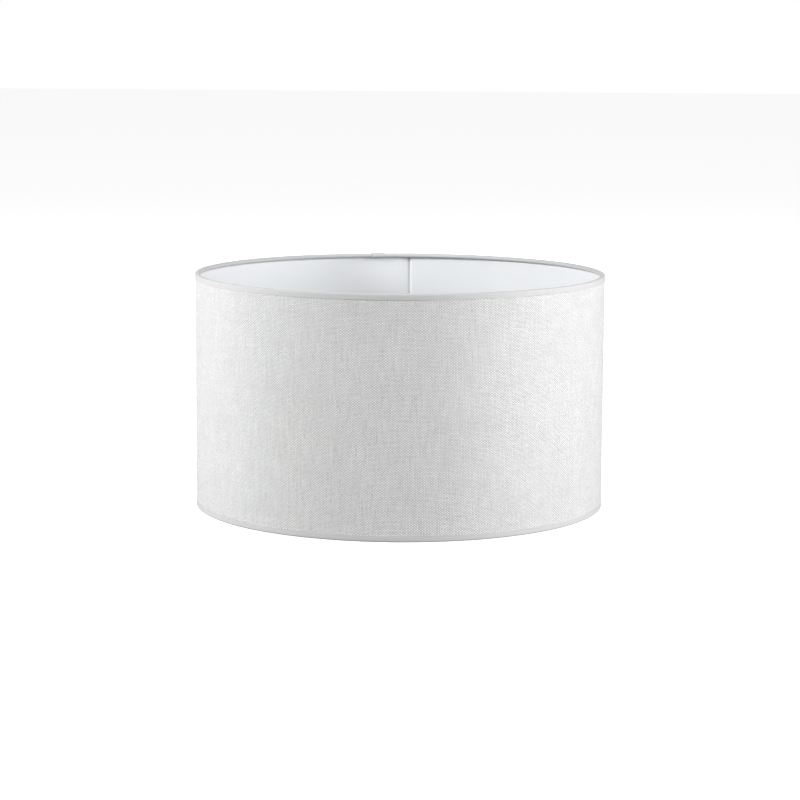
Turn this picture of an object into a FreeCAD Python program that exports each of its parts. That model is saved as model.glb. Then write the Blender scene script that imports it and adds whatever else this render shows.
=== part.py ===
import FreeCAD, Part
import math
import os

import Sketcher
from FreeCAD import Placement, Rotation, Vector

# Straight drum lamp shade for a table or floor lamp. A strip of linen backed with
# a stiff liner is rolled up and lapped at one seam, its two edges are bound round
# wire rings, and three spokes on the lower ring carry the fitter for the
# lampholder. Millimetres, +Z up, origin on the axis in the plane of the lower rim,
# seam at +Y.

doc = FreeCAD.newDocument("LampShade")
sheet = doc.addObject("Spreadsheet::Sheet", "Dimensions")

DIMENSIONS = [
    ("shade_diameter", 350, "over the linen cover"),
    ("shade_height", 200, "over both rims"),
    ("cover_thick", 0.45, "linen"),
    ("liner_thick", 0.35, "stiff liner sheet"),
    ("edge_inset", 1.2, "rim to the cut edge of cover and liner"),
    ("seam_overlap", 10, "lap of the rolled strip"),
    ("seam_turn_gap", 1, "turned-in linen stops this far short of the lap's inner edge"),
    ("seam_tape_thick", 0.1, "double-sided tape in the lap"),
    ("seam_ramp", 12, "run in which the outer lap comes down beside the lap"),
    ("binding_thick", 0.4, "edge tape"),
    ("binding_leg", 5, "edge tape showing on the outside"),
    ("binding_round", 1.2, "outer corner of the rim"),
    ("binding_step", 4, "run of the edge tape down the end of the lap"),
    ("binding_slit", 0.5, "gap in the lower edge tape round a spoke"),
    ("wire_diameter", 3, "rings and spokes"),
    ("fitter_rise", 30, "lower rim to the underside of the fitter plate"),
    ("fitter_bore", 41, "clears the sleeve of the large lampholder"),
    ("fitter_diameter", 60, "over the rolled-up edge"),
    ("fitter_thick", 1.0, "pressed steel sheet"),
    ("fitter_edge", 3.0, "height of the rolled-up edge"),
    ("fitter_collar", 2.5, "height of the collar round the bore"),
    ("spoke_foot", 13, "level run of a spoke beside the lower ring"),
    ("spoke_slope", 55, "degrees that a spoke climbs at"),
    ("spoke_bend", 6, "bend radius of a spoke, to the wire's centre"),
    ("spoke_gap", 0.5, "tip of a spoke to the fitter's collar"),
    ("weld_depth", 0.3, "flat pressed on the spoke at the weld"),
    ("reducer_bore", 29, "clears the sleeve of the small lampholder"),
    ("reducer_diameter", 51, "over the flange"),
    ("reducer_flange", 1.4, "flange thickness"),
    ("reducer_wall", 1.5, "spigot, web and collar"),
    ("reducer_depth", 3.6, "spigot below the fitter plate's upper face"),
    ("reducer_collar", 3.0, "length of the bore"),
    ("reducer_clearance", 0.1, "spigot in the fitter bore, on the radius"),
    ("reducer_notch", 2.5, "radius of a finger notch in the flange"),
]
for row, (alias, value, note) in enumerate(DIMENSIONS, start=1):
    sheet.set(f"A{row}", alias)
    sheet.set(f"B{row}", str(value))
    sheet.set(f"C{row}", note)
    sheet.setAlias(f"B{row}", alias)
doc.recompute()

SPOKES = 3
NOTCHES = 3
SEAM_ANGLE = 90

# Places that several pieces share, as expressions on the sheet.
COVER_RADIUS = "(Dimensions.shade_diameter / 2)"
FOIL_RADIUS = f"({COVER_RADIUS} - Dimensions.cover_thick)"
INSIDE_RADIUS = f"({FOIL_RADIUS} - Dimensions.liner_thick)"
RING_RADIUS = f"({INSIDE_RADIUS} - Dimensions.wire_diameter / 2)"
RING_LEVEL = "(Dimensions.binding_thick + Dimensions.wire_diameter / 2)"
PLATE_UNDER = "(Dimensions.fitter_rise)"
PLATE_TOP = "(Dimensions.fitter_rise + Dimensions.fitter_thick)"
BORE_RADIUS = "(Dimensions.fitter_bore / 2)"


def size(expression):
    """Value of an expression on the sheet, in millimetres or degrees."""
    return float(sheet.evalExpression(expression))


def named(alias):
    """Value of one driving dimension."""
    return float(sheet.get(alias))


pieces = []


def keep(piece, node):
    """Give a finished sub-part its node name and put it on the list to be written."""
    piece.Label = node
    pieces.append(piece)
    return piece


# ---------------------------------------------------------------- strip and seam
# Plan curves are made of arcs about the axis, joined by S-curves where a layer
# climbs over another. Angles are in degrees, anticlockwise from +X.

cover_radius = size(COVER_RADIUS)
foil_radius = size(FOIL_RADIUS)
inside_radius = size(INSIDE_RADIUS)
cover_thick = named("cover_thick")
lap_lift = (cover_radius - inside_radius) + named("seam_tape_thick") + cover_thick


def turn(length):
    """Angle that a length along the cover's outside covers."""
    return math.degrees(length / cover_radius)


def polar(radius, angle):
    return Vector(
        radius * math.cos(math.radians(angle)),
        radius * math.sin(math.radians(angle)),
        0,
    )


def arc(radius, start, end):
    """Arc about the axis from one angle to another, in either direction."""
    middle = (start + end) / 2
    return Part.Arc(polar(radius, start), polar(radius, middle), polar(radius, end)).toShape()


def tangent_arc(start, direction, end):
    """Arc that leaves start along direction and ends at end."""
    chord = end - start
    across = Vector(-direction.y, direction.x, 0)
    radius = chord.dot(chord) / (2 * chord.dot(across))
    centre = start + across * radius
    to_middle = (start + end) / 2 - centre
    middle = centre + to_middle * (abs(radius) / to_middle.Length)
    return Part.Arc(start, middle, end).toShape()


def ramp(radius_from, angle_from, radius_to, angle_to):
    """S-curve of two arcs between two radii, square to the radius at both ends."""
    start = polar(radius_from, angle_from)
    end = polar(radius_to, angle_to)
    sense = 1 if angle_to > angle_from else -1
    leaving = Vector(-start.y, start.x, 0).normalize() * sense
    arriving = Vector(-end.y, end.x, 0).normalize() * sense
    chord = end - start
    both = leaving + arriving
    # Equal arms of a biarc: each arm ends where its tangent meets the join.
    a = 2 * (1 - leaving.dot(arriving))
    b = 2 * chord.dot(both)
    c = -chord.dot(chord)
    arm = -c / b if abs(a) < 1e-12 else (-b + math.sqrt(b * b - 4 * a * c)) / (2 * a)
    join = (start + leaving * arm + end - arriving * arm) / 2
    back = tangent_arc(end, arriving * -1, join)
    return [tangent_arc(start, leaving, join), back]


LAP_END = SEAM_ANGLE
RAMP_END = SEAM_ANGLE + turn(named("seam_ramp"))
LAP_TIP = SEAM_ANGLE - turn(named("seam_overlap"))
STRIP_END = SEAM_ANGLE + 360


def strip_curve(radius, tip):
    """Face of the rolled strip at this radius, from the tip of the outer lap round
    to the end of the inner lap."""
    return [
        arc(radius + lap_lift, tip, LAP_END),
        *ramp(radius + lap_lift, LAP_END, radius, RAMP_END),
        arc(radius, RAMP_END, STRIP_END),
    ]


def line(start, end):
    return Part.LineSegment(start, end).toShape()


def prism(edges, bottom, top):
    """Solid over a closed plan outline, between two levels."""
    face = Part.Face(Part.Wire(Part.__sortEdges__(edges)))
    face.translate(Vector(0, 0, bottom))
    return face.extrude(Vector(0, 0, top - bottom))


def add_shape(node, shape):
    piece = doc.addObject("Part::Feature", node)
    piece.Shape = shape
    piece.Placement = Placement()
    return keep(piece, node)


strip_bottom = named("edge_inset")
strip_top = named("shade_height") - named("edge_inset")

# Linen cover: round the whole drum, over the lap, and folded back under the end of
# the liner so that no raw edge shows outside.
fold_outer = cover_radius + lap_lift
fold_inner = foil_radius + lap_lift - named("liner_thick") - cover_thick
fold_round = (fold_outer - fold_inner) / 2
fold_start = LAP_TIP + turn(fold_round)
fold_end = LAP_END - turn(named("seam_turn_gap"))
foil_tip = fold_start
foil_inner = foil_radius + lap_lift - named("liner_thick")
foil_outer = foil_radius + lap_lift
fold_nose = Part.Arc(
    polar(fold_inner, fold_start),
    polar(fold_inner + fold_round, LAP_TIP),
    polar(fold_outer, fold_start),
).toShape()
add_shape(
    "cover",
    prism(
        strip_curve(cover_radius, fold_start)
        + [line(polar(cover_radius, STRIP_END), polar(foil_radius, STRIP_END))]
        + strip_curve(foil_radius, foil_tip)
        + [line(polar(foil_outer, foil_tip), polar(foil_inner, foil_tip))]
        + [arc(foil_inner, foil_tip, fold_end)]
        + [line(polar(foil_inner, fold_end), polar(fold_inner, fold_end))]
        + [arc(fold_inner, fold_end, fold_start)]
        + [fold_nose],
        strip_bottom,
        strip_top,
    ),
)

# Stiff liner, bonded to the whole back of the linen.
add_shape(
    "liner",
    prism(
        strip_curve(foil_radius, foil_tip)
        + [line(polar(foil_radius, STRIP_END), polar(inside_radius, STRIP_END))]
        + strip_curve(inside_radius, foil_tip)
        + [line(polar(foil_inner, foil_tip), polar(foil_outer, foil_tip))],
        strip_bottom,
        strip_top,
    ),
)

# Double-sided tape that holds the lap shut.
add_shape(
    "seam_tape",
    prism(
        [
            arc(cover_radius, fold_start, LAP_END),
            line(polar(cover_radius, LAP_END), polar(fold_inner, LAP_END)),
            arc(fold_inner, LAP_END, fold_start),
            line(polar(fold_inner, fold_start), polar(cover_radius, fold_start)),
        ],
        strip_bottom,
        strip_top,
    ),
)


# ------------------------------------------------------------------- wire rings
def add_ring(node, level):
    ring = doc.addObject("Part::Torus", node)
    ring.setExpression("Radius1", RING_RADIUS)
    ring.setExpression("Radius2", "Dimensions.wire_diameter / 2")
    ring.setExpression("Placement.Base.z", level)
    return keep(ring, node)


add_ring("top_ring", f"Dimensions.shade_height - {RING_LEVEL}")
bottom_ring = add_ring("bottom_ring", RING_LEVEL)


# ----------------------------------------------------------------- edge bindings
# Tape folded over each rim: a leg outside, a flat over the edge, and a wrap round
# the wire as far as the liner. The lower one is slit where the spokes leave the ring.
binding_thick = named("binding_thick")
ring_radius = size(RING_RADIUS)
ring_level = size(RING_LEVEL)
wire_radius = named("wire_diameter") / 2
STEP_END = LAP_TIP - turn(named("binding_step"))


def rim_curve(offset):
    """Closed outline round the outside of the cover, over the lap."""
    low = cover_radius + offset
    high = low + lap_lift
    return [
        arc(high, LAP_TIP, LAP_END),
        *ramp(high, LAP_END, low, RAMP_END),
        arc(low, RAMP_END, STEP_END + 360),
        *ramp(high, LAP_TIP, low, STEP_END),
    ]


def rounded_rim(offset, rim, far, radius):
    """Block inside the outline from one level to another, rounded at the first."""
    block = prism(rim_curve(offset), rim, far)
    rim_edges = [
        edge for edge in block.Edges
        if abs(edge.BoundBox.ZMax - rim) < 1e-5 and abs(edge.BoundBox.ZMin - rim) < 1e-5
    ]
    return block.makeFillet(radius, rim_edges)


def make_wrap(inward, slit):
    """Tape round the wire, from the rim side through the axis side to the liner, with
    the wire's centre at level zero: one stretch between each two spokes, slit apart."""
    wrap_radius = wire_radius + binding_thick
    touch = math.acos(wire_radius / wrap_radius)

    def spot(radius, angle):
        across = ring_radius + radius * math.cos(angle)
        return Vector(across, 0, inward * radius * math.sin(angle))

    start = -0.5 * math.pi
    middle = -math.pi
    end = touch - 2 * math.pi
    section = [
        Part.Arc(*(spot(wrap_radius, angle) for angle in (start, middle, end))).toShape(),
        line(spot(wrap_radius, end), spot(wire_radius, end)),
        Part.Arc(*(spot(wire_radius, angle) for angle in (end, middle, start))).toShape(),
        line(spot(wire_radius, start), spot(wrap_radius, start)),
    ]
    face = Part.Face(Part.Wire(section))
    up = Vector(0, 0, 1)
    stretches = []
    for index in range(SPOKES):
        start_face = face.rotated(Vector(0, 0, 0), up, index * 360 / SPOKES + slit / 2)
        stretches.append(start_face.revolve(Vector(0, 0, 0), up, 360 / SPOKES - slit))
    return stretches


def make_binding(rim, inward, slit):
    """Binding of the rim at this level; inward is 1 where the shade is above it, or -1,
    and slit is the angle left open at each spoke."""
    axis = Vector(0, 0, inward)
    rim_centre = Vector(0, 0, rim)
    leg_end = rim + inward * named("binding_leg")
    corner = named("binding_round")
    cap = rounded_rim(binding_thick, rim, leg_end, corner)
    inside = rounded_rim(0, rim + inward * binding_thick, leg_end, corner - binding_thick)
    cap = cap.cut(inside)
    cap = cap.cut(Part.makeCylinder(ring_radius, named("binding_leg"), rim_centre, axis))
    wrap = make_wrap(inward, slit)
    for stretch in wrap:
        stretch.translate(rim_centre + axis * ring_level)
    return cap.fuse(wrap).removeSplitter()


spoke_slit = math.degrees(2 * (wire_radius + named("binding_slit")) / ring_radius)
add_shape("top_binding", make_binding(named("shade_height"), -1, 0))
add_shape("bottom_binding", make_binding(0, 1, spoke_slit))


# ------------------------------------------------------- sketches for the fittings
def plane(body, role):
    """One of the body's own origin planes or axes, found by its role."""
    return next(item for item in body.Origin.OriginFeatures if item.Role == role)


def new_sketch(body, role, name):
    sketch = body.newObject("Sketcher::SketchObject", name)
    sketch.AttachmentSupport = [(plane(body, role), "")]
    sketch.MapMode = "FlatFace"
    return sketch


def place_point(sketch, geometry, position, x_expression, y_expression):
    """Fix a point of the sketch by two distances bound to the sheet."""
    for kind, expression in (("DistanceX", x_expression), ("DistanceY", y_expression)):
        constraint = Sketcher.Constraint(kind, -1, 1, geometry, position, size(expression))
        index = sketch.addConstraint(constraint)
        sketch.setExpression(f"Constraints[{index}]", expression)


def draw_polygon(sketch, corners):
    """Closed polygon through corners given as pairs of expressions."""
    values = [Vector(size(x), size(y), 0) for x, y in corners]
    count = len(corners)
    for index in range(count):
        sketch.addGeometry(Part.LineSegment(values[index], values[(index + 1) % count]), False)
    for index in range(count):
        following = (index + 1) % count
        sketch.addConstraint(Sketcher.Constraint("Coincident", index, 2, following, 1))
        place_point(sketch, index, 1, *corners[index])


def revolve(body, sketch):
    feature = body.newObject("PartDesign::Revolution", "Turned")
    feature.Profile = sketch
    feature.ReferenceAxis = (plane(body, "Z_Axis"), [""])
    feature.Angle = 360
    doc.recompute()
    return feature


def round_circles(body, base, radius_expression, circles):
    """Fillet the circular edges at the given (radius, level) pairs."""
    chosen = []
    for number, edge in enumerate(base.Shape.Edges, start=1):
        if not isinstance(edge.Curve, Part.Circle):
            continue
        for radius, level in circles:
            near_radius = abs(edge.Curve.Radius - size(radius)) < 1e-4
            near_level = abs(edge.Curve.Center.z - size(level)) < 1e-4
            if near_radius and near_level:
                chosen.append(f"Edge{number}")
    fillet = body.newObject("PartDesign::Fillet", "Rounded")
    fillet.Base = (base, chosen)
    fillet.setExpression("Radius", radius_expression)
    doc.recompute()
    return fillet


# ------------------------------------------------------------------------ fitter
# One steel pressing: flat plate, edge turned up, collar round the bore turned down.
fitter = doc.addObject("PartDesign::Body", "fitter_ring")
fitter_sketch = new_sketch(fitter, "XZ_Plane", "FitterSection")
EDGE_RADIUS = "(Dimensions.fitter_diameter / 2)"
EDGE_INSIDE = f"({EDGE_RADIUS} - Dimensions.fitter_thick)"
EDGE_TOP = f"({PLATE_UNDER} + Dimensions.fitter_edge)"
COLLAR_OUTSIDE = f"({BORE_RADIUS} + Dimensions.fitter_thick)"
COLLAR_BOTTOM = f"({PLATE_TOP} - Dimensions.fitter_collar)"
draw_polygon(
    fitter_sketch,
    [
        (BORE_RADIUS, PLATE_TOP),
        (BORE_RADIUS, COLLAR_BOTTOM),
        (COLLAR_OUTSIDE, COLLAR_BOTTOM),
        (COLLAR_OUTSIDE, PLATE_UNDER),
        (EDGE_RADIUS, PLATE_UNDER),
        (EDGE_RADIUS, EDGE_TOP),
        (EDGE_INSIDE, EDGE_TOP),
        (EDGE_INSIDE, PLATE_TOP),
    ],
)
doc.recompute()
fitter_turned = revolve(fitter, fitter_sketch)
fitter_rounded = round_circles(
    fitter,
    fitter_turned,
    "Dimensions.fitter_thick * 0.8",
    [(EDGE_RADIUS, PLATE_UNDER)],
)
round_circles(
    fitter,
    fitter_rounded,
    "Dimensions.fitter_thick * 0.35",
    [(COLLAR_OUTSIDE, PLATE_UNDER), (EDGE_INSIDE, PLATE_TOP), (BORE_RADIUS, PLATE_TOP)],
)
keep(fitter, "fitter_ring")


# ------------------------------------------------------------------------ spokes
# Steel wire from the lower ring: level beside the ring, up a slope, then level to
# the underside of the fitter plate, where its end is pressed flat and welded.
SPOKE_LEVEL = f"({PLATE_UNDER} + Dimensions.weld_depth - Dimensions.wire_diameter / 2)"
SPOKE_TIP = f"({COLLAR_OUTSIDE} + Dimensions.spoke_gap)"
FOOT_END = f"({RING_RADIUS} - Dimensions.spoke_foot)"
SLOPE_RUN = f"(({SPOKE_LEVEL} - {RING_LEVEL}) / tan(Dimensions.spoke_slope * 1deg))"
SLOPE_END = f"({FOOT_END} - {SLOPE_RUN})"
BEND_ARM = "(Dimensions.spoke_bend * tan(Dimensions.spoke_slope * 0.5deg))"
ARM_ALONG = f"({BEND_ARM} * cos(Dimensions.spoke_slope * 1deg))"
ARM_UP = f"({BEND_ARM} * sin(Dimensions.spoke_slope * 1deg))"


def draw_spoke_line(sketch):
    """Open line of three runs joined by two bends, from the ring to the plate."""
    stations = [
        (RING_RADIUS, RING_LEVEL),
        (f"{FOOT_END} + {BEND_ARM}", RING_LEVEL),
        (f"{FOOT_END} - {ARM_ALONG}", f"{RING_LEVEL} + {ARM_UP}"),
        (f"{SLOPE_END} + {ARM_ALONG}", f"{SPOKE_LEVEL} - {ARM_UP}"),
        (f"{SLOPE_END} - {BEND_ARM}", SPOKE_LEVEL),
        (SPOKE_TIP, SPOKE_LEVEL),
    ]
    spots = [Vector(size(x), size(y), 0) for x, y in stations]
    bend = named("spoke_bend")
    slope = math.radians(named("spoke_slope"))
    lower_centre = spots[1] + Vector(0, bend, 0)
    upper_centre = spots[4] - Vector(0, bend, 0)
    up = Vector(0, 0, 1)
    lower_arc = Part.ArcOfCircle(
        Part.Circle(lower_centre, up, bend), 1.5 * math.pi - slope, 1.5 * math.pi
    )
    upper_arc = Part.ArcOfCircle(
        Part.Circle(upper_centre, up, bend), 0.5 * math.pi - slope, 0.5 * math.pi
    )
    sketch.addGeometry(Part.LineSegment(spots[0], spots[1]), False)
    sketch.addGeometry(lower_arc, False)
    sketch.addGeometry(Part.LineSegment(spots[2], spots[3]), False)
    sketch.addGeometry(upper_arc, False)
    sketch.addGeometry(Part.LineSegment(spots[4], spots[5]), False)
    # An arc starts at its clockwise end, so the two bends join the runs crosswise.
    joins = [(0, 2, 1, 2), (1, 1, 2, 1), (2, 2, 3, 1), (3, 2, 4, 1)]
    for first, first_end, second, second_end in joins:
        sketch.addConstraint(
            Sketcher.Constraint("Coincident", first, first_end, second, second_end)
        )
    for geometry, position, station in ((0, 1, 0), (0, 2, 1), (2, 1, 2), (2, 2, 3), (4, 1, 4), (4, 2, 5)):
        place_point(sketch, geometry, position, *stations[station])
    for geometry in (1, 3):
        index = sketch.addConstraint(Sketcher.Constraint("Radius", geometry, bend))
        sketch.setExpression(f"Constraints[{index}]", "Dimensions.spoke_bend")


def add_spoke(number):
    node = f"spoke_{number}"
    body = doc.addObject("PartDesign::Body", f"Wire{number}")
    path = new_sketch(body, "XZ_Plane", "Path")
    draw_spoke_line(path)
    section = new_sketch(body, "YZ_Plane", "Section")
    section.setExpression("AttachmentOffset.Base.z", RING_RADIUS)
    level = Vector(0, size(RING_LEVEL), 0)
    section.addGeometry(Part.Circle(level, Vector(0, 0, 1), wire_radius), False)
    section.addConstraint(Sketcher.Constraint("PointOnObject", 0, 3, -2))
    index = section.addConstraint(Sketcher.Constraint("DistanceY", -1, 1, 0, 3, level.y))
    section.setExpression(f"Constraints[{index}]", RING_LEVEL)
    index = section.addConstraint(Sketcher.Constraint("Radius", 0, wire_radius))
    section.setExpression(f"Constraints[{index}]", "Dimensions.wire_diameter / 2")
    doc.recompute()
    wire = body.newObject("PartDesign::AdditivePipe", "Wire")
    wire.Profile = section
    wire.Spine = (path, [])
    doc.recompute()

    # The weld flat: everything above the plate's underside, as far as its edge.
    flat = doc.addObject("Part::Box", f"WeldFlat{number}")
    flat.setExpression("Length", f"{EDGE_RADIUS} + Dimensions.wire_diameter / 2")
    flat.setExpression("Width", "2 * Dimensions.wire_diameter")
    flat.setExpression("Height", "Dimensions.wire_diameter")
    flat.setExpression("Placement.Base.y", "-Dimensions.wire_diameter")
    flat.setExpression("Placement.Base.z", PLATE_UNDER)
    saddle = doc.addObject("Part::Cut", f"Saddle{number}")
    saddle.Base = body
    saddle.Tool = bottom_ring
    spoke = doc.addObject("Part::Cut", node)
    spoke.Base = saddle
    spoke.Tool = flat
    spoke.Placement = Placement(
        Vector(0, 0, 0), Rotation(Vector(0, 0, 1), (number - 1) * 360 / SPOKES)
    )
    return keep(spoke, node)


for spoke_number in range(1, SPOKES + 1):
    add_spoke(spoke_number)


# ----------------------------------------------------------------------- reducer
# Moulded ring that drops into the fitter from above: flange on the plate, spigot in
# the bore, and a web with a collar whose bore takes the small lampholder.
reducer = doc.addObject("PartDesign::Body", "reducer_ring")
reducer_sketch = new_sketch(reducer, "XZ_Plane", "ReducerSection")
SPIGOT_OUTSIDE = f"({BORE_RADIUS} - Dimensions.reducer_clearance)"
SPIGOT_INSIDE = f"({SPIGOT_OUTSIDE} - Dimensions.reducer_wall)"
FLANGE_RADIUS = "(Dimensions.reducer_diameter / 2)"
FLANGE_TOP = f"({PLATE_TOP} + Dimensions.reducer_flange)"
SPIGOT_BOTTOM = f"({PLATE_TOP} - Dimensions.reducer_depth)"
WEB_TOP = f"({SPIGOT_BOTTOM} + Dimensions.reducer_wall)"
SMALL_BORE = "(Dimensions.reducer_bore / 2)"
SMALL_COLLAR = f"({SMALL_BORE} + Dimensions.reducer_wall)"
SMALL_COLLAR_TOP = f"({SPIGOT_BOTTOM} + Dimensions.reducer_collar)"
draw_polygon(
    reducer_sketch,
    [
        (SMALL_BORE, SPIGOT_BOTTOM),
        (SPIGOT_OUTSIDE, SPIGOT_BOTTOM),
        (SPIGOT_OUTSIDE, PLATE_TOP),
        (FLANGE_RADIUS, PLATE_TOP),
        (FLANGE_RADIUS, FLANGE_TOP),
        (SPIGOT_INSIDE, FLANGE_TOP),
        (SPIGOT_INSIDE, WEB_TOP),
        (SMALL_COLLAR, WEB_TOP),
        (SMALL_COLLAR, SMALL_COLLAR_TOP),
        (SMALL_BORE, SMALL_COLLAR_TOP),
    ],
)
doc.recompute()
reducer_turned = revolve(reducer, reducer_sketch)
reducer_rounded = round_circles(
    reducer,
    reducer_turned,
    "Dimensions.reducer_wall * 0.25",
    [
        (FLANGE_RADIUS, FLANGE_TOP),
        (SPIGOT_INSIDE, FLANGE_TOP),
        (SPIGOT_OUTSIDE, SPIGOT_BOTTOM),
        (SMALL_COLLAR, SMALL_COLLAR_TOP),
    ],
)

notch_sketch = new_sketch(reducer, "XY_Plane", "NotchSection")
notch_sketch.setExpression("AttachmentOffset.Base.z", PLATE_TOP)
notch_radius = named("reducer_notch")
notch_sketch.addGeometry(
    Part.Circle(Vector(size(FLANGE_RADIUS), 0, 0), Vector(0, 0, 1), notch_radius), False
)
notch_sketch.addConstraint(Sketcher.Constraint("PointOnObject", 0, 3, -1))
notch_place = notch_sketch.addConstraint(
    Sketcher.Constraint("DistanceX", -1, 1, 0, 3, size(FLANGE_RADIUS))
)
notch_sketch.setExpression(f"Constraints[{notch_place}]", FLANGE_RADIUS)
notch_size = notch_sketch.addConstraint(Sketcher.Constraint("Radius", 0, notch_radius))
notch_sketch.setExpression(f"Constraints[{notch_size}]", "Dimensions.reducer_notch")
doc.recompute()
notch = reducer.newObject("PartDesign::Pocket", "Notch")
notch.Profile = notch_sketch
notch.setExpression("Length", "2 * Dimensions.reducer_flange")
notch.Reversed = True
doc.recompute()
if notch.Shape.Volume >= reducer_rounded.Shape.Volume:
    raise SystemExit("the finger notch cuts nothing")
notches = reducer.newObject("PartDesign::PolarPattern", "Notches")
notches.Originals = [notch]
notches.Axis = (plane(reducer, "Z_Axis"), [""])
notches.Angle = 360
notches.Occurrences = NOTCHES
reducer.Tip = notches
doc.recompute()
keep(reducer, "reducer_ring")


# ------------------------------------------------------------------ check and write
doc.recompute()
for item in doc.Objects:
    if "Invalid" in item.State or "Error" in item.State:
        raise SystemExit(f"{item.Label} did not build: {item.State}")

os.makedirs("parts", exist_ok=True)
for piece in pieces:
    shape = piece.Shape
    if shape.isNull() or not shape.isValid():
        raise SystemExit(f"{piece.Label} has no valid shape")
    if len(shape.Solids) != 1:
        raise SystemExit(f"{piece.Label} is {len(shape.Solids)} solids")
    shape.exportStep(f"parts/{piece.Label}.step")
    box = shape.optimalBoundingBox(False)
    print(
        f"{piece.Label:15s} volume {shape.Volume:10.1f}"
        f"  x {box.XMin:8.2f} {box.XMax:8.2f}"
        f"  y {box.YMin:8.2f} {box.YMax:8.2f}"
        f"  z {box.ZMin:8.2f} {box.ZMax:8.2f}"
    )
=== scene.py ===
import math

import bmesh
import bpy
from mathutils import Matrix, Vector, noise


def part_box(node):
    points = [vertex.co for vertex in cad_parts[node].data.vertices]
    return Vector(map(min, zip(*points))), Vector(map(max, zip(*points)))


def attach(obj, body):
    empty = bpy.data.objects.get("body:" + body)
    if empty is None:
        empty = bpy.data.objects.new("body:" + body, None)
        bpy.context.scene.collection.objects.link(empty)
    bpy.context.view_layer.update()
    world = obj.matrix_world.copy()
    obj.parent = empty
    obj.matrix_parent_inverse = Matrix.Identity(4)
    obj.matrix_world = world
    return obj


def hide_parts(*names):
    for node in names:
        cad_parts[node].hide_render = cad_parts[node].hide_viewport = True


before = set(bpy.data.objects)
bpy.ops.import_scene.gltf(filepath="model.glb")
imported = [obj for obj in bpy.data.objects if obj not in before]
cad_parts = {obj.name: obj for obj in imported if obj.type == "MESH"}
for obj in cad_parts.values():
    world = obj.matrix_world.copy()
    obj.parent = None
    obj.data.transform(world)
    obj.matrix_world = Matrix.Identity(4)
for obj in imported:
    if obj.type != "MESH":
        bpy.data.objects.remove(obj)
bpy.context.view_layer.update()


# ---------------------------------------------------------------- stiff liner sheet
# A smooth white plastic sheet, bonded to the back of the linen before the strip is
# rolled into a drum. Inside the shade its cut edge stands up as a straight line at +Y,
# where the strip's inner end lies on the outer one.

def to_tenth(length):
    """A length read from the frame's facetted mesh, to a tenth of a millimetre."""
    return round(length, 4)


liner_thick = 0.00035
linen_thick = 0.00045
tape_in_lap = 0.0001
drum_radius = to_tenth(-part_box("cover")[0].y)
wall_bottom = to_tenth(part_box("cover")[0].z)
wall_top = to_tenth(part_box("cover")[1].z)
lap_rise = liner_thick + 2 * linen_thick + tape_in_lap
lap_length = 0.010
lap_ramp = 0.012
lap_edge = math.radians(90)
lap_tip = lap_edge - lap_length / drum_radius
waver_size = 0.00014
liner_room = 0.94
wall_length = (math.tau + lap_edge - lap_tip) * drum_radius


def ease(x):
    """0 below 0, 1 above 1, and a smooth climb between."""
    x = min(1.0, max(0.0, x))
    return x * x * (3 - 2 * x)


def wall_rise(along):
    """How far the wall stands outside its plain radius, a length along from the lap's tip."""
    return lap_rise * (1 - ease((along - lap_length) / lap_ramp))


def wall_waver(angle, level):
    """The small unevenness of a hand-rolled wall, none at the rims where the rings hold it."""
    height = (level - wall_bottom) / (wall_top - wall_bottom)
    held = 1 - (2 * height - 1) ** 4
    spot = Vector((3 * math.cos(angle), 3 * math.sin(angle), 12 * level))
    return waver_size * held * noise.noise(spot)


def lay_sheet(name, stations, widths, place):
    """A sheet with its flat coordinates as UV, then every corner carried to its place."""
    columns, rows = len(stations) - 1, len(widths) - 1
    bm = bmesh.new()
    bmesh.ops.create_grid(bm, x_segments=columns, y_segments=rows, size=0.5)
    cloth = bm.loops.layers.uv.new("Cloth")
    flat = {}
    for corner in bm.verts:
        column = round((corner.co.x + 0.5) * columns)
        row = round((corner.co.y + 0.5) * rows)
        flat[corner] = (stations[column], widths[row])
    for face in bm.faces:
        face.smooth = True
        for loop in face.loops:
            loop[cloth].uv = flat[loop.vert]
    for corner, (along, across) in flat.items():
        corner.co = place(along, across)
    mesh = bpy.data.meshes.new(name)
    bm.to_mesh(mesh)
    bm.free()
    sheet = bpy.data.objects.new(name, mesh)
    bpy.context.collection.objects.link(sheet)
    return sheet


def thicken(sheet, thickness):
    """Give a sheet its real thickness, half to each side."""
    wall = sheet.modifiers.new("Thickness", "SOLIDIFY")
    wall.thickness = thickness
    wall.offset = 0
    wall.use_even_offset = True


def steps(start, end, pitch):
    """Evenly spaced values from start up to, not including, end."""
    count = max(1, round((end - start) / pitch))
    return [start + (end - start) * index / count for index in range(count)]


def on_drum(radius, angle, level):
    """A point at a distance from the shade's axis, an angle from +X and a height."""
    return Vector((radius * math.cos(angle), radius * math.sin(angle), level))


liner_radius = drum_radius - linen_thick - liner_thick / 2
lap_region = lap_length + lap_ramp
tip_gap = 0.0005
lap_pitch = 0.001
wall_pitch = 0.003
level_pitch = 0.0025
wall_stations = (
    steps(tip_gap, lap_region, lap_pitch)
    + steps(lap_region, wall_length, wall_pitch)
    + [wall_length]
)
wall_levels = steps(wall_bottom, wall_top, level_pitch) + [wall_top]


def place_liner(along, level):
    angle = lap_tip + along / drum_radius
    radius = liner_radius + wall_rise(along) + wall_waver(angle, level)
    return on_drum(radius, angle, level)


liner = lay_sheet("liner_sheet", wall_stations, wall_levels, place_liner)
thicken(liner, liner_thick * liner_room)


def add_node(tree, kind, settings=None, **inputs):
    """A shader node with its settings, and its inputs as constants or as other sockets."""
    node = tree.nodes.new("ShaderNode" + kind)
    for key, value in (settings or {}).items():
        setattr(node, key, value)
    for key, value in inputs.items():
        socket = node.inputs[key.replace("_", " ")]
        if isinstance(value, bpy.types.NodeSocket):
            tree.links.new(value, socket)
        else:
            socket.default_value = value
    return node


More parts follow.
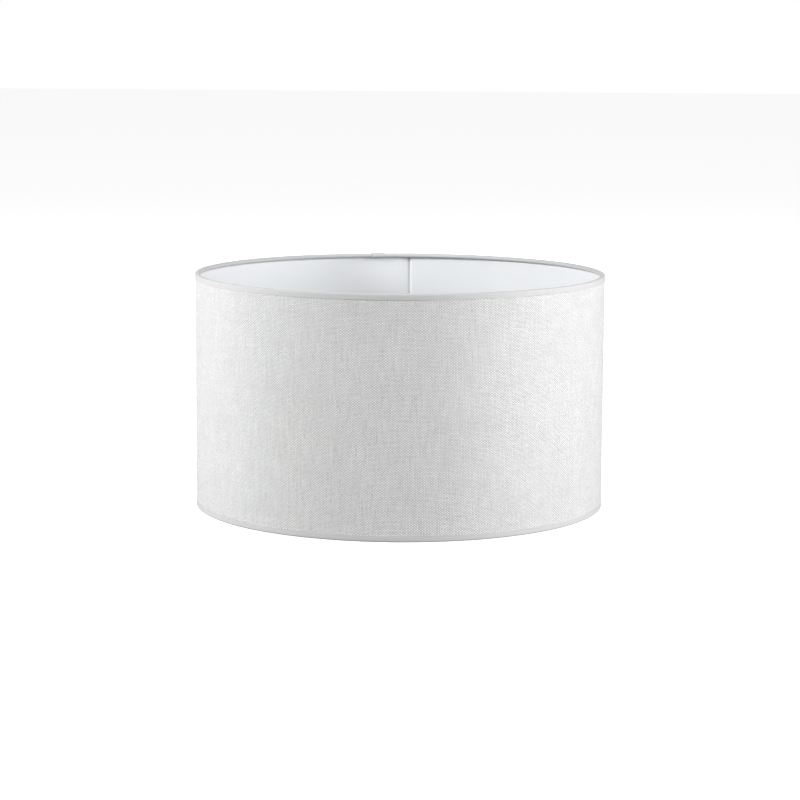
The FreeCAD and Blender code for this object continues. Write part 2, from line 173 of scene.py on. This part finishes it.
def calc(tree, operation, *values):
    """The result of one Math node."""
    node = tree.nodes.new("ShaderNodeMath")
    node.operation = operation
    for socket, value in zip(node.inputs, values):
        if isinstance(value, bpy.types.NodeSocket):
            tree.links.new(value, socket)
        else:
            socket.default_value = value
    return node.outputs[0]


def blend_colours(tree, share, low, high):
    """A colour between low and high."""
    node = tree.nodes.new("ShaderNodeMix")
    node.data_type = "RGBA"
    ends = {"Factor": share, "A": low, "B": high}
    sockets = {"Factor": node.inputs[0], "A": node.inputs[6], "B": node.inputs[7]}
    for key, value in ends.items():
        if isinstance(value, bpy.types.NodeSocket):
            tree.links.new(value, sockets[key])
        else:
            sockets[key].default_value = value
    return node.outputs[2]


def new_finish(name):
    """An empty material with its Principled shader, and the tree to build on."""
    finish = bpy.data.materials.new(name)
    finish.use_nodes = True
    shader = finish.node_tree.nodes["Principled BSDF"]
    return finish, finish.node_tree, shader


def coat(piece, finish):
    """Give a piece one finish all over."""
    piece.data.materials.clear()
    piece.data.materials.append(finish)


def new_effect(name, inputs, outputs):
    """An empty node group with its sockets, and its two end nodes."""
    tree = bpy.data.node_groups.new(name, "ShaderNodeTree")
    for socket, (kind, value) in inputs.items():
        made = tree.interface.new_socket(socket, in_out="INPUT", socket_type="NodeSocket" + kind)
        if value is not None:
            made.default_value = value
    for socket, kind in outputs.items():
        tree.interface.new_socket(socket, in_out="OUTPUT", socket_type="NodeSocket" + kind)
    return tree, tree.nodes.new("NodeGroupInput"), tree.nodes.new("NodeGroupOutput")


def use_effect(tree, effect, **inputs):
    """One use of a node group, its inputs as constants or as other sockets."""
    node = tree.nodes.new("ShaderNodeGroup")
    node.node_tree = effect
    for key, value in inputs.items():
        socket = node.inputs[key.replace("_", " ")]
        if isinstance(value, bpy.types.NodeSocket):
            tree.links.new(value, socket)
        else:
            socket.default_value = value
    return node


# Handling marks and moulding unevenness of any smooth white surface: a soft cloud of
# tone, and a fine grain for the bump.
surface_grain, grain_in, grain_out = new_effect(
    "SurfaceGrain",
    {"Place": ("Vector", None), "Cloud Size": ("Float", 0.05), "Grain Size": ("Float", 0.001)},
    {"Cloud": "Float", "Grain": "Float"},
)
cloud_scale = calc(surface_grain, "DIVIDE", 1.0, grain_in.outputs["Cloud Size"])
grain_scale = calc(surface_grain, "DIVIDE", 1.0, grain_in.outputs["Grain Size"])
cloud = add_node(
    surface_grain, "TexNoise", Vector=grain_in.outputs["Place"], Scale=cloud_scale, Detail=3.0
)
grain = add_node(
    surface_grain, "TexNoise", Vector=grain_in.outputs["Place"], Scale=grain_scale, Detail=2.0
)
surface_grain.links.new(cloud.outputs["Fac"], grain_out.inputs["Cloud"])
surface_grain.links.new(grain.outputs["Fac"], grain_out.inputs["Grain"])

liner_finish, tree, shader = new_finish("LinerSheet")
place = add_node(tree, "TexCoord").outputs["Object"]
grained = use_effect(tree, surface_grain, Place=place, Cloud_Size=0.06, Grain_Size=0.0006)
liner_colour = blend_colours(
    tree, grained.outputs["Cloud"], (0.68, 0.695, 0.71, 1), (0.73, 0.743, 0.755, 1)
)
bump = add_node(
    tree, "Bump", Height=grained.outputs["Grain"], Strength=0.15, Distance=0.00004
)
tree.links.new(liner_colour, shader.inputs["Base Color"])
tree.links.new(bump.outputs["Normal"], shader.inputs["Normal"])
shader.inputs["Roughness"].default_value = 0.5
shader.inputs["Specular IOR Level"].default_value = 0.35
coat(liner, liner_finish)
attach(liner, "shade")
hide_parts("liner")


# ---------------------------------------------------------------------- linen cover
# Plain-woven linen with slubby yarns, rolled with the liner behind it. At the lap its
# outer end is turned in round the liner's end, so a folded edge shows outside at +Y.

linen_radius = drum_radius - linen_thick / 2
linen_room = 0.9
turn_in = lap_length - 0.001
nose_radius = (lap_rise - liner_thick) / 2 - tape_in_lap
nose_length = math.pi * nose_radius
folded_radius = linen_radius + lap_rise - 2 * nose_radius


def place_linen(along, level):
    """Along is counted from the fold: below zero it is the turned-in part."""
    nose_angle = lap_tip + nose_radius / drum_radius
    if along < 0:
        return on_drum(folded_radius, nose_angle - along / drum_radius, level)
    if along < nose_length:
        turn = along / nose_radius
        radius = folded_radius + nose_radius * (1 - math.cos(turn))
        return on_drum(radius, nose_angle - nose_radius * math.sin(turn) / drum_radius, level)
    run = along - nose_length
    angle = nose_angle + run / drum_radius
    radius = linen_radius + wall_rise(run) + wall_waver(angle, level)
    return on_drum(radius, angle, level)


linen_end = nose_length + wall_length - nose_radius
linen_stations = (
    steps(-turn_in, 0, 0.002)
    + steps(0, nose_length, nose_length / 6)
    + steps(nose_length, nose_length + lap_region, lap_pitch)
    + steps(nose_length + lap_region, linen_end, wall_pitch)
    + [linen_end]
)
linen = lay_sheet("linen_cover", linen_stations, wall_levels, place_linen)
thicken(linen, linen_thick * linen_room)

# Plain weave: two sets of round yarns that pass over and under each other in turn. Height
# is the cloth's relief, Tone says how light the yarn on top is, and Pit Shade is 1 in the
# pits between the yarns: a mask for shade painted into the colour where the cloth lies low.
plain_weave, weave_in, weave_out = new_effect(
    "PlainWeave",
    {
        "Cloth": ("Vector", None),
        "Warp Pitch": ("Float", 0.001),
        "Weft Pitch": ("Float", 0.001),
        "Warp Crimp": ("Float", 0.5),
        "Weft Crimp": ("Float", 0.2),
        "Wander": ("Float", 0.3),
        "Slub": ("Float", 0.3),
    },
    {"Height": "Float", "Tone": "Float", "Pit Shade": "Float"},
)


def build_plain_weave(tree, entry, leave):
    cloth = entry.outputs["Cloth"]
    place = add_node(tree, "SeparateXYZ", Vector=cloth)
    drift = add_node(tree, "TexNoise", Vector=cloth, Scale=45.0, Detail=2.0)
    drift = add_node(tree, "SeparateColor", Color=drift.outputs["Color"])

    def yarn_count(position, pitch, sway):
        straight = calc(tree, "DIVIDE", position, pitch)
        centred = calc(tree, "SUBTRACT", sway, 0.5)
        swaying = calc(tree, "MULTIPLY", centred, entry.outputs["Wander"])
        return calc(tree, "ADD", straight, swaying)

    warp = yarn_count(place.outputs["X"], entry.outputs["Warp Pitch"], drift.outputs["Red"])
    weft = yarn_count(place.outputs["Y"], entry.outputs["Weft Pitch"], drift.outputs["Green"])

    def yarn(across, along):
        """Height, crown and tone of one set of yarns."""
        number = calc(tree, "FLOOR", across)
        offset = calc(tree, "SUBTRACT", calc(tree, "FRACT", across), 0.5)
        phase = calc(tree, "ADD", calc(tree, "SUBTRACT", along, 0.5), number)
        crossing = calc(tree, "COSINE", calc(tree, "MULTIPLY", phase, math.pi))
        spot = add_node(
            tree,
            "CombineXYZ",
            X=calc(tree, "MULTIPLY", number, 7.31),
            Y=calc(tree, "MULTIPLY", along, 0.05),
        )
        uneven = add_node(tree, "TexNoise", Vector=spot.outputs[0], Scale=1.0, Detail=3.0)
        uneven = calc(tree, "SUBTRACT", uneven.outputs["Fac"], 0.5)
        swell = calc(tree, "MULTIPLY", uneven, entry.outputs["Slub"])
        half_width = calc(tree, "ADD", 0.55, swell)
        share = calc(tree, "DIVIDE", offset, half_width)
        fall = calc(tree, "MULTIPLY", share, share)
        round_off = calc(tree, "MAXIMUM", calc(tree, "SUBTRACT", 1.0, fall), 0.0)
        crown = calc(tree, "MULTIPLY", round_off, half_width)
        return crossing, crown, uneven

    warp_crossing, warp_crown, warp_tone = yarn(warp, weft)
    weft_crossing, weft_crown, weft_tone = yarn(weft, warp)
    float_spot = add_node(
        tree,
        "CombineXYZ",
        X=calc(tree, "FLOOR", warp),
        Y=calc(tree, "FLOOR", weft),
    )
    looseness = add_node(tree, "TexWhiteNoise", Vector=float_spot.outputs[0]).outputs["Value"]
    loose = calc(tree, "MULTIPLY", calc(tree, "SUBTRACT", looseness, 0.5), entry.outputs["Slub"])
    warp_crimp = calc(tree, "ADD", entry.outputs["Warp Crimp"], loose)
    warp_round = calc(tree, "MULTIPLY", warp_crown, 0.6)
    warp_height = calc(tree, "MULTIPLY_ADD", warp_crossing, warp_crimp, warp_round)
    weft_drop = calc(tree, "MULTIPLY", entry.outputs["Weft Crimp"], -1.0)
    weft_round = calc(tree, "MULTIPLY", weft_crown, 0.3)
    weft_height = calc(tree, "MULTIPLY_ADD", weft_crossing, weft_drop, weft_round)
    height = calc(tree, "MAXIMUM", warp_height, weft_height)
    warp_on_top = calc(tree, "GREATER_THAN", warp_height, weft_height)
    tone = calc(
        tree,
        "ADD",
        calc(tree, "MULTIPLY", warp_on_top, warp_tone),
        calc(tree, "MULTIPLY", calc(tree, "SUBTRACT", 1.0, warp_on_top), weft_tone),
    )
    # Painted shade mask: 1 where the cloth lies lowest, falling to 0 on the highest yarns.
    pit_shade = add_node(
        tree,
        "MapRange",
        Value=height,
        From_Min=0.0,
        From_Max=0.6,
        To_Min=1.0,
        To_Max=0.0,
    )
    tree.links.new(height, leave.inputs["Height"])
    tree.links.new(calc(tree, "ADD", tone, 0.5), leave.inputs["Tone"])
    tree.links.new(pit_shade.outputs[0], leave.inputs["Pit Shade"])


build_plain_weave(plain_weave, weave_in, weave_out)

linen_finish, tree, shader = new_finish("LinenCloth")
flat = add_node(tree, "UVMap", settings={"uv_map": "Cloth"}).outputs["UV"]
weave = use_effect(
    tree,
    plain_weave,
    Cloth=flat,
    Warp_Pitch=0.00131,
    Weft_Pitch=0.001,
    Warp_Crimp=0.5,
    Weft_Crimp=0.05,
    Wander=1.3,
    Slub=0.55,
)
cloud = add_node(tree, "TexNoise", Vector=flat, Scale=30.0, Detail=4.0)
drift = calc(tree, "SUBTRACT", cloud.outputs["Fac"], 0.5)
tone = calc(tree, "MULTIPLY_ADD", drift, 0.4, weave.outputs["Tone"])
yarn_colour = blend_colours(tree, tone, (0.76, 0.765, 0.765, 1), (0.99, 0.99, 0.99, 1))
# Painted shade: the linen's colour darkens toward grey in the pits between the yarns and on the
# lower-lying yarns, where shade falls.
painted_pit_shade = calc(tree, "MULTIPLY", weave.outputs["Pit Shade"], 0.95)
linen_colour = blend_colours(tree, painted_pit_shade, yarn_colour, (0.40, 0.40, 0.40, 1))
bump = add_node(tree, "Bump", Height=weave.outputs["Height"], Strength=1.0, Distance=0.0008)
tree.links.new(linen_colour, shader.inputs["Base Color"])
tree.links.new(bump.outputs["Normal"], shader.inputs["Normal"])
shader.inputs["Roughness"].default_value = 0.85
shader.inputs["Specular IOR Level"].default_value = 0.25
shader.inputs["Sheen Weight"].default_value = 0.15
shader.inputs["Sheen Roughness"].default_value = 0.5
coat(linen, linen_finish)
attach(linen, "shade")
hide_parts("cover")


# ------------------------------------------------------------------- tape in the lap
# Clear double-sided tape between the two ends of the strip. It keeps its own solid, and
# only its edge could be seen.

seam_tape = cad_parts["seam_tape"]
tape_finish, tree, shader = new_finish("LapTape")
place = add_node(tree, "TexCoord").outputs["Object"]
grained = use_effect(tree, surface_grain, Place=place, Cloud_Size=0.01, Grain_Size=0.0005)
tape_colour = blend_colours(
    tree, grained.outputs["Cloud"], (0.78, 0.77, 0.72, 1), (0.86, 0.85, 0.81, 1)
)
tree.links.new(tape_colour, shader.inputs["Base Color"])
shader.inputs["Roughness"].default_value = 0.3
coat(seam_tape, tape_finish)


# -------------------------------------------------------- rings, spokes and fitter
# Steel wire rings, three bent spokes welded to the lower ring, and the pressed fitter
# plate, all powder-coated white as one frame.

powder_finish, tree, shader = new_finish("PowderCoat")
place = add_node(tree, "TexCoord").outputs["Object"]
grained = use_effect(tree, surface_grain, Place=place, Cloud_Size=0.02, Grain_Size=0.0007)
powder_colour = blend_colours(
    tree, grained.outputs["Cloud"], (0.80, 0.80, 0.79, 1), (0.86, 0.86, 0.85, 1)
)
bump = add_node(
    tree, "Bump", Height=grained.outputs["Grain"], Strength=0.35, Distance=0.00012
)
tree.links.new(powder_colour, shader.inputs["Base Color"])
tree.links.new(bump.outputs["Normal"], shader.inputs["Normal"])
shader.inputs["Roughness"].default_value = 0.38


def smooth_copy(node, name, crease):
    """A node's own shape with its triangles joined, so that it shades as one surface."""
    bm = bmesh.new()
    bm.from_mesh(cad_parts[node].data)
    bmesh.ops.remove_doubles(bm, verts=bm.verts, dist=0.000001)
    for face in bm.faces:
        face.smooth = True
    for edge in bm.edges:
        if edge.is_manifold and edge.calc_face_angle() > crease:
            edge.smooth = False
    mesh = bpy.data.meshes.new(name)
    bm.to_mesh(mesh)
    bm.free()
    piece = bpy.data.objects.new(name, mesh)
    bpy.context.collection.objects.link(piece)
    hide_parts(node)
    return piece


for node in ("top_ring", "bottom_ring", "spoke_1", "spoke_2", "spoke_3"):
    wire = smooth_copy(node, node + "_wire", math.radians(50))
    coat(wire, powder_finish)
    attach(wire, "shade")

fitter = smooth_copy("fitter_ring", "fitter_plate", math.radians(40))
coat(fitter, powder_finish)
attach(fitter, "shade")


# --------------------------------------------------------------------- reducer ring
# Moulded white plastic ring that drops into the fitter's bore and lifts out again.

plastic_finish, tree, shader = new_finish("MouldedPlastic")
place = add_node(tree, "TexCoord").outputs["Object"]
grained = use_effect(tree, surface_grain, Place=place, Cloud_Size=0.012, Grain_Size=0.0004)
plastic_colour = blend_colours(
    tree, grained.outputs["Cloud"], (0.84, 0.84, 0.82, 1), (0.89, 0.89, 0.87, 1)
)
bump = add_node(
    tree, "Bump", Height=grained.outputs["Grain"], Strength=0.2, Distance=0.00005
)
tree.links.new(plastic_colour, shader.inputs["Base Color"])
tree.links.new(bump.outputs["Normal"], shader.inputs["Normal"])
shader.inputs["Roughness"].default_value = 0.45
reducer = smooth_copy("reducer_ring", "reducer_moulding", math.radians(35))
coat(reducer, plastic_finish)
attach(reducer, "reducer")


# -------------------------------------------------------------------- edge bindings
# White edge tape on each rim: it starts on the outside of the linen, turns over the edge
# and goes round the wire ring until it meets the liner. Its two ends lap near the seam.

tape_thick = 0.0004
wire_radius = 0.0015
ring_radius = drum_radius - linen_thick - liner_thick - wire_radius
leg_length = 0.005
binding_round = 0.0012
corner_radius = binding_round - tape_thick / 2
wrap_radius = wire_radius + tape_thick / 2
wrap_turn = math.pi + math.asin(wire_radius / (wire_radius + tape_thick))
leg_run = leg_length - binding_round
corner_run = corner_radius * math.pi / 2
flat_run = drum_radius + tape_thick / 2 - corner_radius - ring_radius
wrap_run = wrap_radius * wrap_turn
tape_width = leg_run + corner_run + flat_run + wrap_run
tape_lap = 0.008
tape_start = lap_edge + math.radians(9)
tape_length = math.tau * drum_radius + tape_lap
binding_step = 0.004
crisp_edge = 0.00012
tape_room = 0.95
lap_over = 1.15 * tape_thick
lap_climb = 0.004
press_depth = 0.0001
press_width = 0.0024
span_dip = 0.00012
puff_size = 0.00006
tape_pitch = 0.0025
leg_pitch = 0.0008
corner_pitch = 0.0003
wrap_pitch = 0.0005


def rim_rise(angle):
    """How far the wall stands out at an angle, seen from outside, where the tape goes over."""
    away = (angle - lap_tip) % math.tau * drum_radius
    if away > math.pi * drum_radius:
        away -= math.tau * drum_radius
    return lap_rise * ease(1 + away / binding_step) * (1 - ease((away - lap_length) / lap_ramp))


def tape_section(across):
    """Distance from the axis, depth below the rim, outward direction and share of the
    wall's rise, at a distance across the tape from its outer edge."""
    outer = drum_radius + tape_thick / 2
    if across < leg_run:
        pressed = press_depth * (1 - ease(across / press_width))
        return outer - pressed, leg_length - across, (1.0, 0.0), 1.0
    across -= leg_run
    if across < corner_run:
        turn = across / corner_radius
        middle = outer - corner_radius
        direction = (math.cos(turn), math.sin(turn))
        radius = middle + corner_radius * direction[0]
        depth = tape_thick / 2 + corner_radius * (1 - direction[1])
        return radius, depth, direction, 1.0
    across -= corner_run
    if across < flat_run:
        share = across / flat_run
        dip = span_dip * math.sin(math.pi * share)
        radius = outer - corner_radius - across
        return radius, tape_thick / 2 + dip, (0.0, 1.0), 1 - ease(share)
    turn = (across - flat_run) / wrap_radius
    direction = (-math.sin(turn), math.cos(turn))
    radius = ring_radius + wrap_radius * direction[0]
    depth = tape_thick / 2 + wrap_radius * (1 - direction[1])
    return radius, depth, direction, 0.0


def bind_rim(name, node, rim, inward):
    """The tape of one rim; inward is +1 where the shade is above the rim, and -1 below."""

    def place_tape(along, across):
        angle = tape_start + along / drum_radius
        radius, depth, direction, share = tape_section(across)
        over = lap_over * ease((along - (tape_length - tape_lap - lap_climb)) / lap_climb)
        spot = Vector((6 * math.cos(angle), 6 * math.sin(angle), 40 * across + rim))
        puff = puff_size * noise.noise(spot)
        radius += share * rim_rise(angle) + (over + puff) * direction[0]
        level = rim + inward * (depth - (over + puff) * direction[1])
        return on_drum(radius, angle, level)

    corner_end = leg_run + corner_run
    flat_end = corner_end + flat_run
    last_crease = tape_width - crisp_edge
    stations = steps(0, tape_length, tape_pitch) + [tape_length]
    widths = (
        [0, crisp_edge]
        + steps(leg_pitch, leg_run, leg_pitch)
        + steps(leg_run, corner_end, corner_pitch)
        + steps(corner_end, flat_end, wrap_pitch)
        + steps(flat_end, last_crease, wrap_pitch)
        + [last_crease, tape_width]
    )
    tape = lay_sheet(name, stations, widths, place_tape)
    if inward > 0:
        tape.data.flip_normals()
    thicken(tape, tape_thick * 0.95)
    coat(tape, binding_finish)
    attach(tape, "shade")
    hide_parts(node)


binding_finish, tree, shader = new_finish("EdgeTape")
flat = add_node(tree, "UVMap", settings={"uv_map": "Cloth"}).outputs["UV"]
weave = use_effect(
    tree,
    plain_weave,
    Cloth=flat,
    Warp_Pitch=0.00042,
    Weft_Pitch=0.00036,
    Warp_Crimp=0.3,
    Weft_Crimp=0.3,
    Wander=0.4,
    Slub=0.1,
)
tape_cloth = blend_colours(
    tree, weave.outputs["Tone"], (0.475, 0.475, 0.48, 1), (0.53, 0.53, 0.535, 1)
)
bump = add_node(tree, "Bump", Height=weave.outputs["Height"], Strength=0.25, Distance=0.00008)
tree.links.new(tape_cloth, shader.inputs["Base Color"])
tree.links.new(bump.outputs["Normal"], shader.inputs["Normal"])
shader.inputs["Roughness"].default_value = 0.7
shader.inputs["Specular IOR Level"].default_value = 0.3
shader.inputs["Sheen Weight"].default_value = 0.1

top_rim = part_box("top_binding")[1].z
bottom_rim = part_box("bottom_binding")[0].z
bind_rim("top_edge_tape", "top_binding", top_rim, -1)
bind_rim("bottom_edge_tape", "bottom_binding", bottom_rim, 1)


# ------------------------------------------------------------- studio, floor, camera
# A pale floor and a white surround, with soft lamps to the left, the right and behind.
# Both look white to the camera and throw less light than that on the shade, and the
# floor can be seen through from below.

floor_mesh = bpy.data.meshes.new("floor")
bm = bmesh.new()
floor_reach = 12
floor_level = -0.0005
bmesh.ops.create_grid(bm, x_segments=1, y_segments=1, size=floor_reach)
bmesh.ops.translate(bm, verts=bm.verts, vec=(0, 0, floor_level))
bm.to_mesh(floor_mesh)
bm.free()
floor = bpy.data.objects.new("floor", floor_mesh)
bpy.context.collection.objects.link(floor)
floor_finish, tree, shader = new_finish("PaleFloor")
seen = add_node(tree, "LightPath").outputs["Is Camera Ray"]
floor_colour = blend_colours(tree, seen, (0.35, 0.35, 0.35, 1), (0.95, 0.95, 0.95, 1))
tree.links.new(floor_colour, shader.inputs["Base Color"])
shader.inputs["Roughness"].default_value = 0.9
shader.inputs["Specular IOR Level"].default_value = 0.0
shader.inputs["Emission Color"].default_value = (1, 1, 1, 1)
tree.links.new(calc(tree, "MULTIPLY", seen, 0.8), shader.inputs["Emission Strength"])
from_below = add_node(tree, "NewGeometry").outputs["Backfacing"]
see_through = add_node(tree, "BsdfTransparent")
floor_sides = add_node(tree, "MixShader", Fac=from_below)
tree.links.new(shader.outputs[0], floor_sides.inputs[1])
tree.links.new(see_through.outputs[0], floor_sides.inputs[2])
tree.links.new(floor_sides.outputs[0], tree.nodes["Material Output"].inputs["Surface"])
coat(floor, floor_finish)

world = bpy.data.worlds.new("Surround")
bpy.context.scene.world = world
world.use_nodes = True
tree = world.node_tree
surround = tree.nodes["Background"]
surround.inputs["Color"].default_value = (1, 1, 1, 1)
seen = add_node(tree, "LightPath").outputs["Is Camera Ray"]
unseen_strength = 0.15
surround_strength = calc(tree, "MULTIPLY_ADD", seen, 1.0 - unseen_strength, unseen_strength)
tree.links.new(surround_strength, surround.inputs["Strength"])

shade_middle = Vector((0, 0, 0.1))


def soft_lamp(name, azimuth, elevation, distance, size, power):
    """A square lamp aimed at the middle of the shade. Azimuth 0 is the front, 90 the right."""
    turn, tilt = math.radians(azimuth), math.radians(elevation)
    level_reach = math.cos(tilt)
    way = Vector((math.sin(turn) * level_reach, -math.cos(turn) * level_reach, math.sin(tilt)))
    lamp = bpy.data.lights.new(name, "AREA")
    lamp.size = size
    lamp.energy = power
    holder = bpy.data.objects.new(name, lamp)
    holder.location = way * distance + shade_middle
    holder.rotation_euler = way.to_track_quat("Z", "Y").to_euler()
    bpy.context.collection.objects.link(holder)


soft_lamp("left_softbox", -71, 24, 1.7, 0.5, 36)
soft_lamp("right_softbox", 65, 20, 1.7, 1.2, 41)
soft_lamp("back_fill", 180, 12, 2.6, 1.2, 10)

bpy.context.scene.view_settings.view_transform = "Standard"

camera_data = bpy.data.cameras.new("camera")
camera_data.sensor_width = 36
camera_data.lens = 115.35
camera = bpy.data.objects.new("camera", camera_data)
bpy.context.collection.objects.link(camera)
camera_turn = math.radians(3.0)
camera_distance = 2.188
camera_height = 0.4184
camera_dip = math.radians(8.56)
camera_roll = math.radians(-0.313)
aim_off = math.radians(0.034)
camera.location = (
    camera_distance * math.sin(camera_turn),
    -camera_distance * math.cos(camera_turn),
    camera_height,
)
camera.rotation_euler = (math.pi / 2 - camera_dip, camera_roll, camera_turn + aim_off)
bpy.context.scene.camera = camera
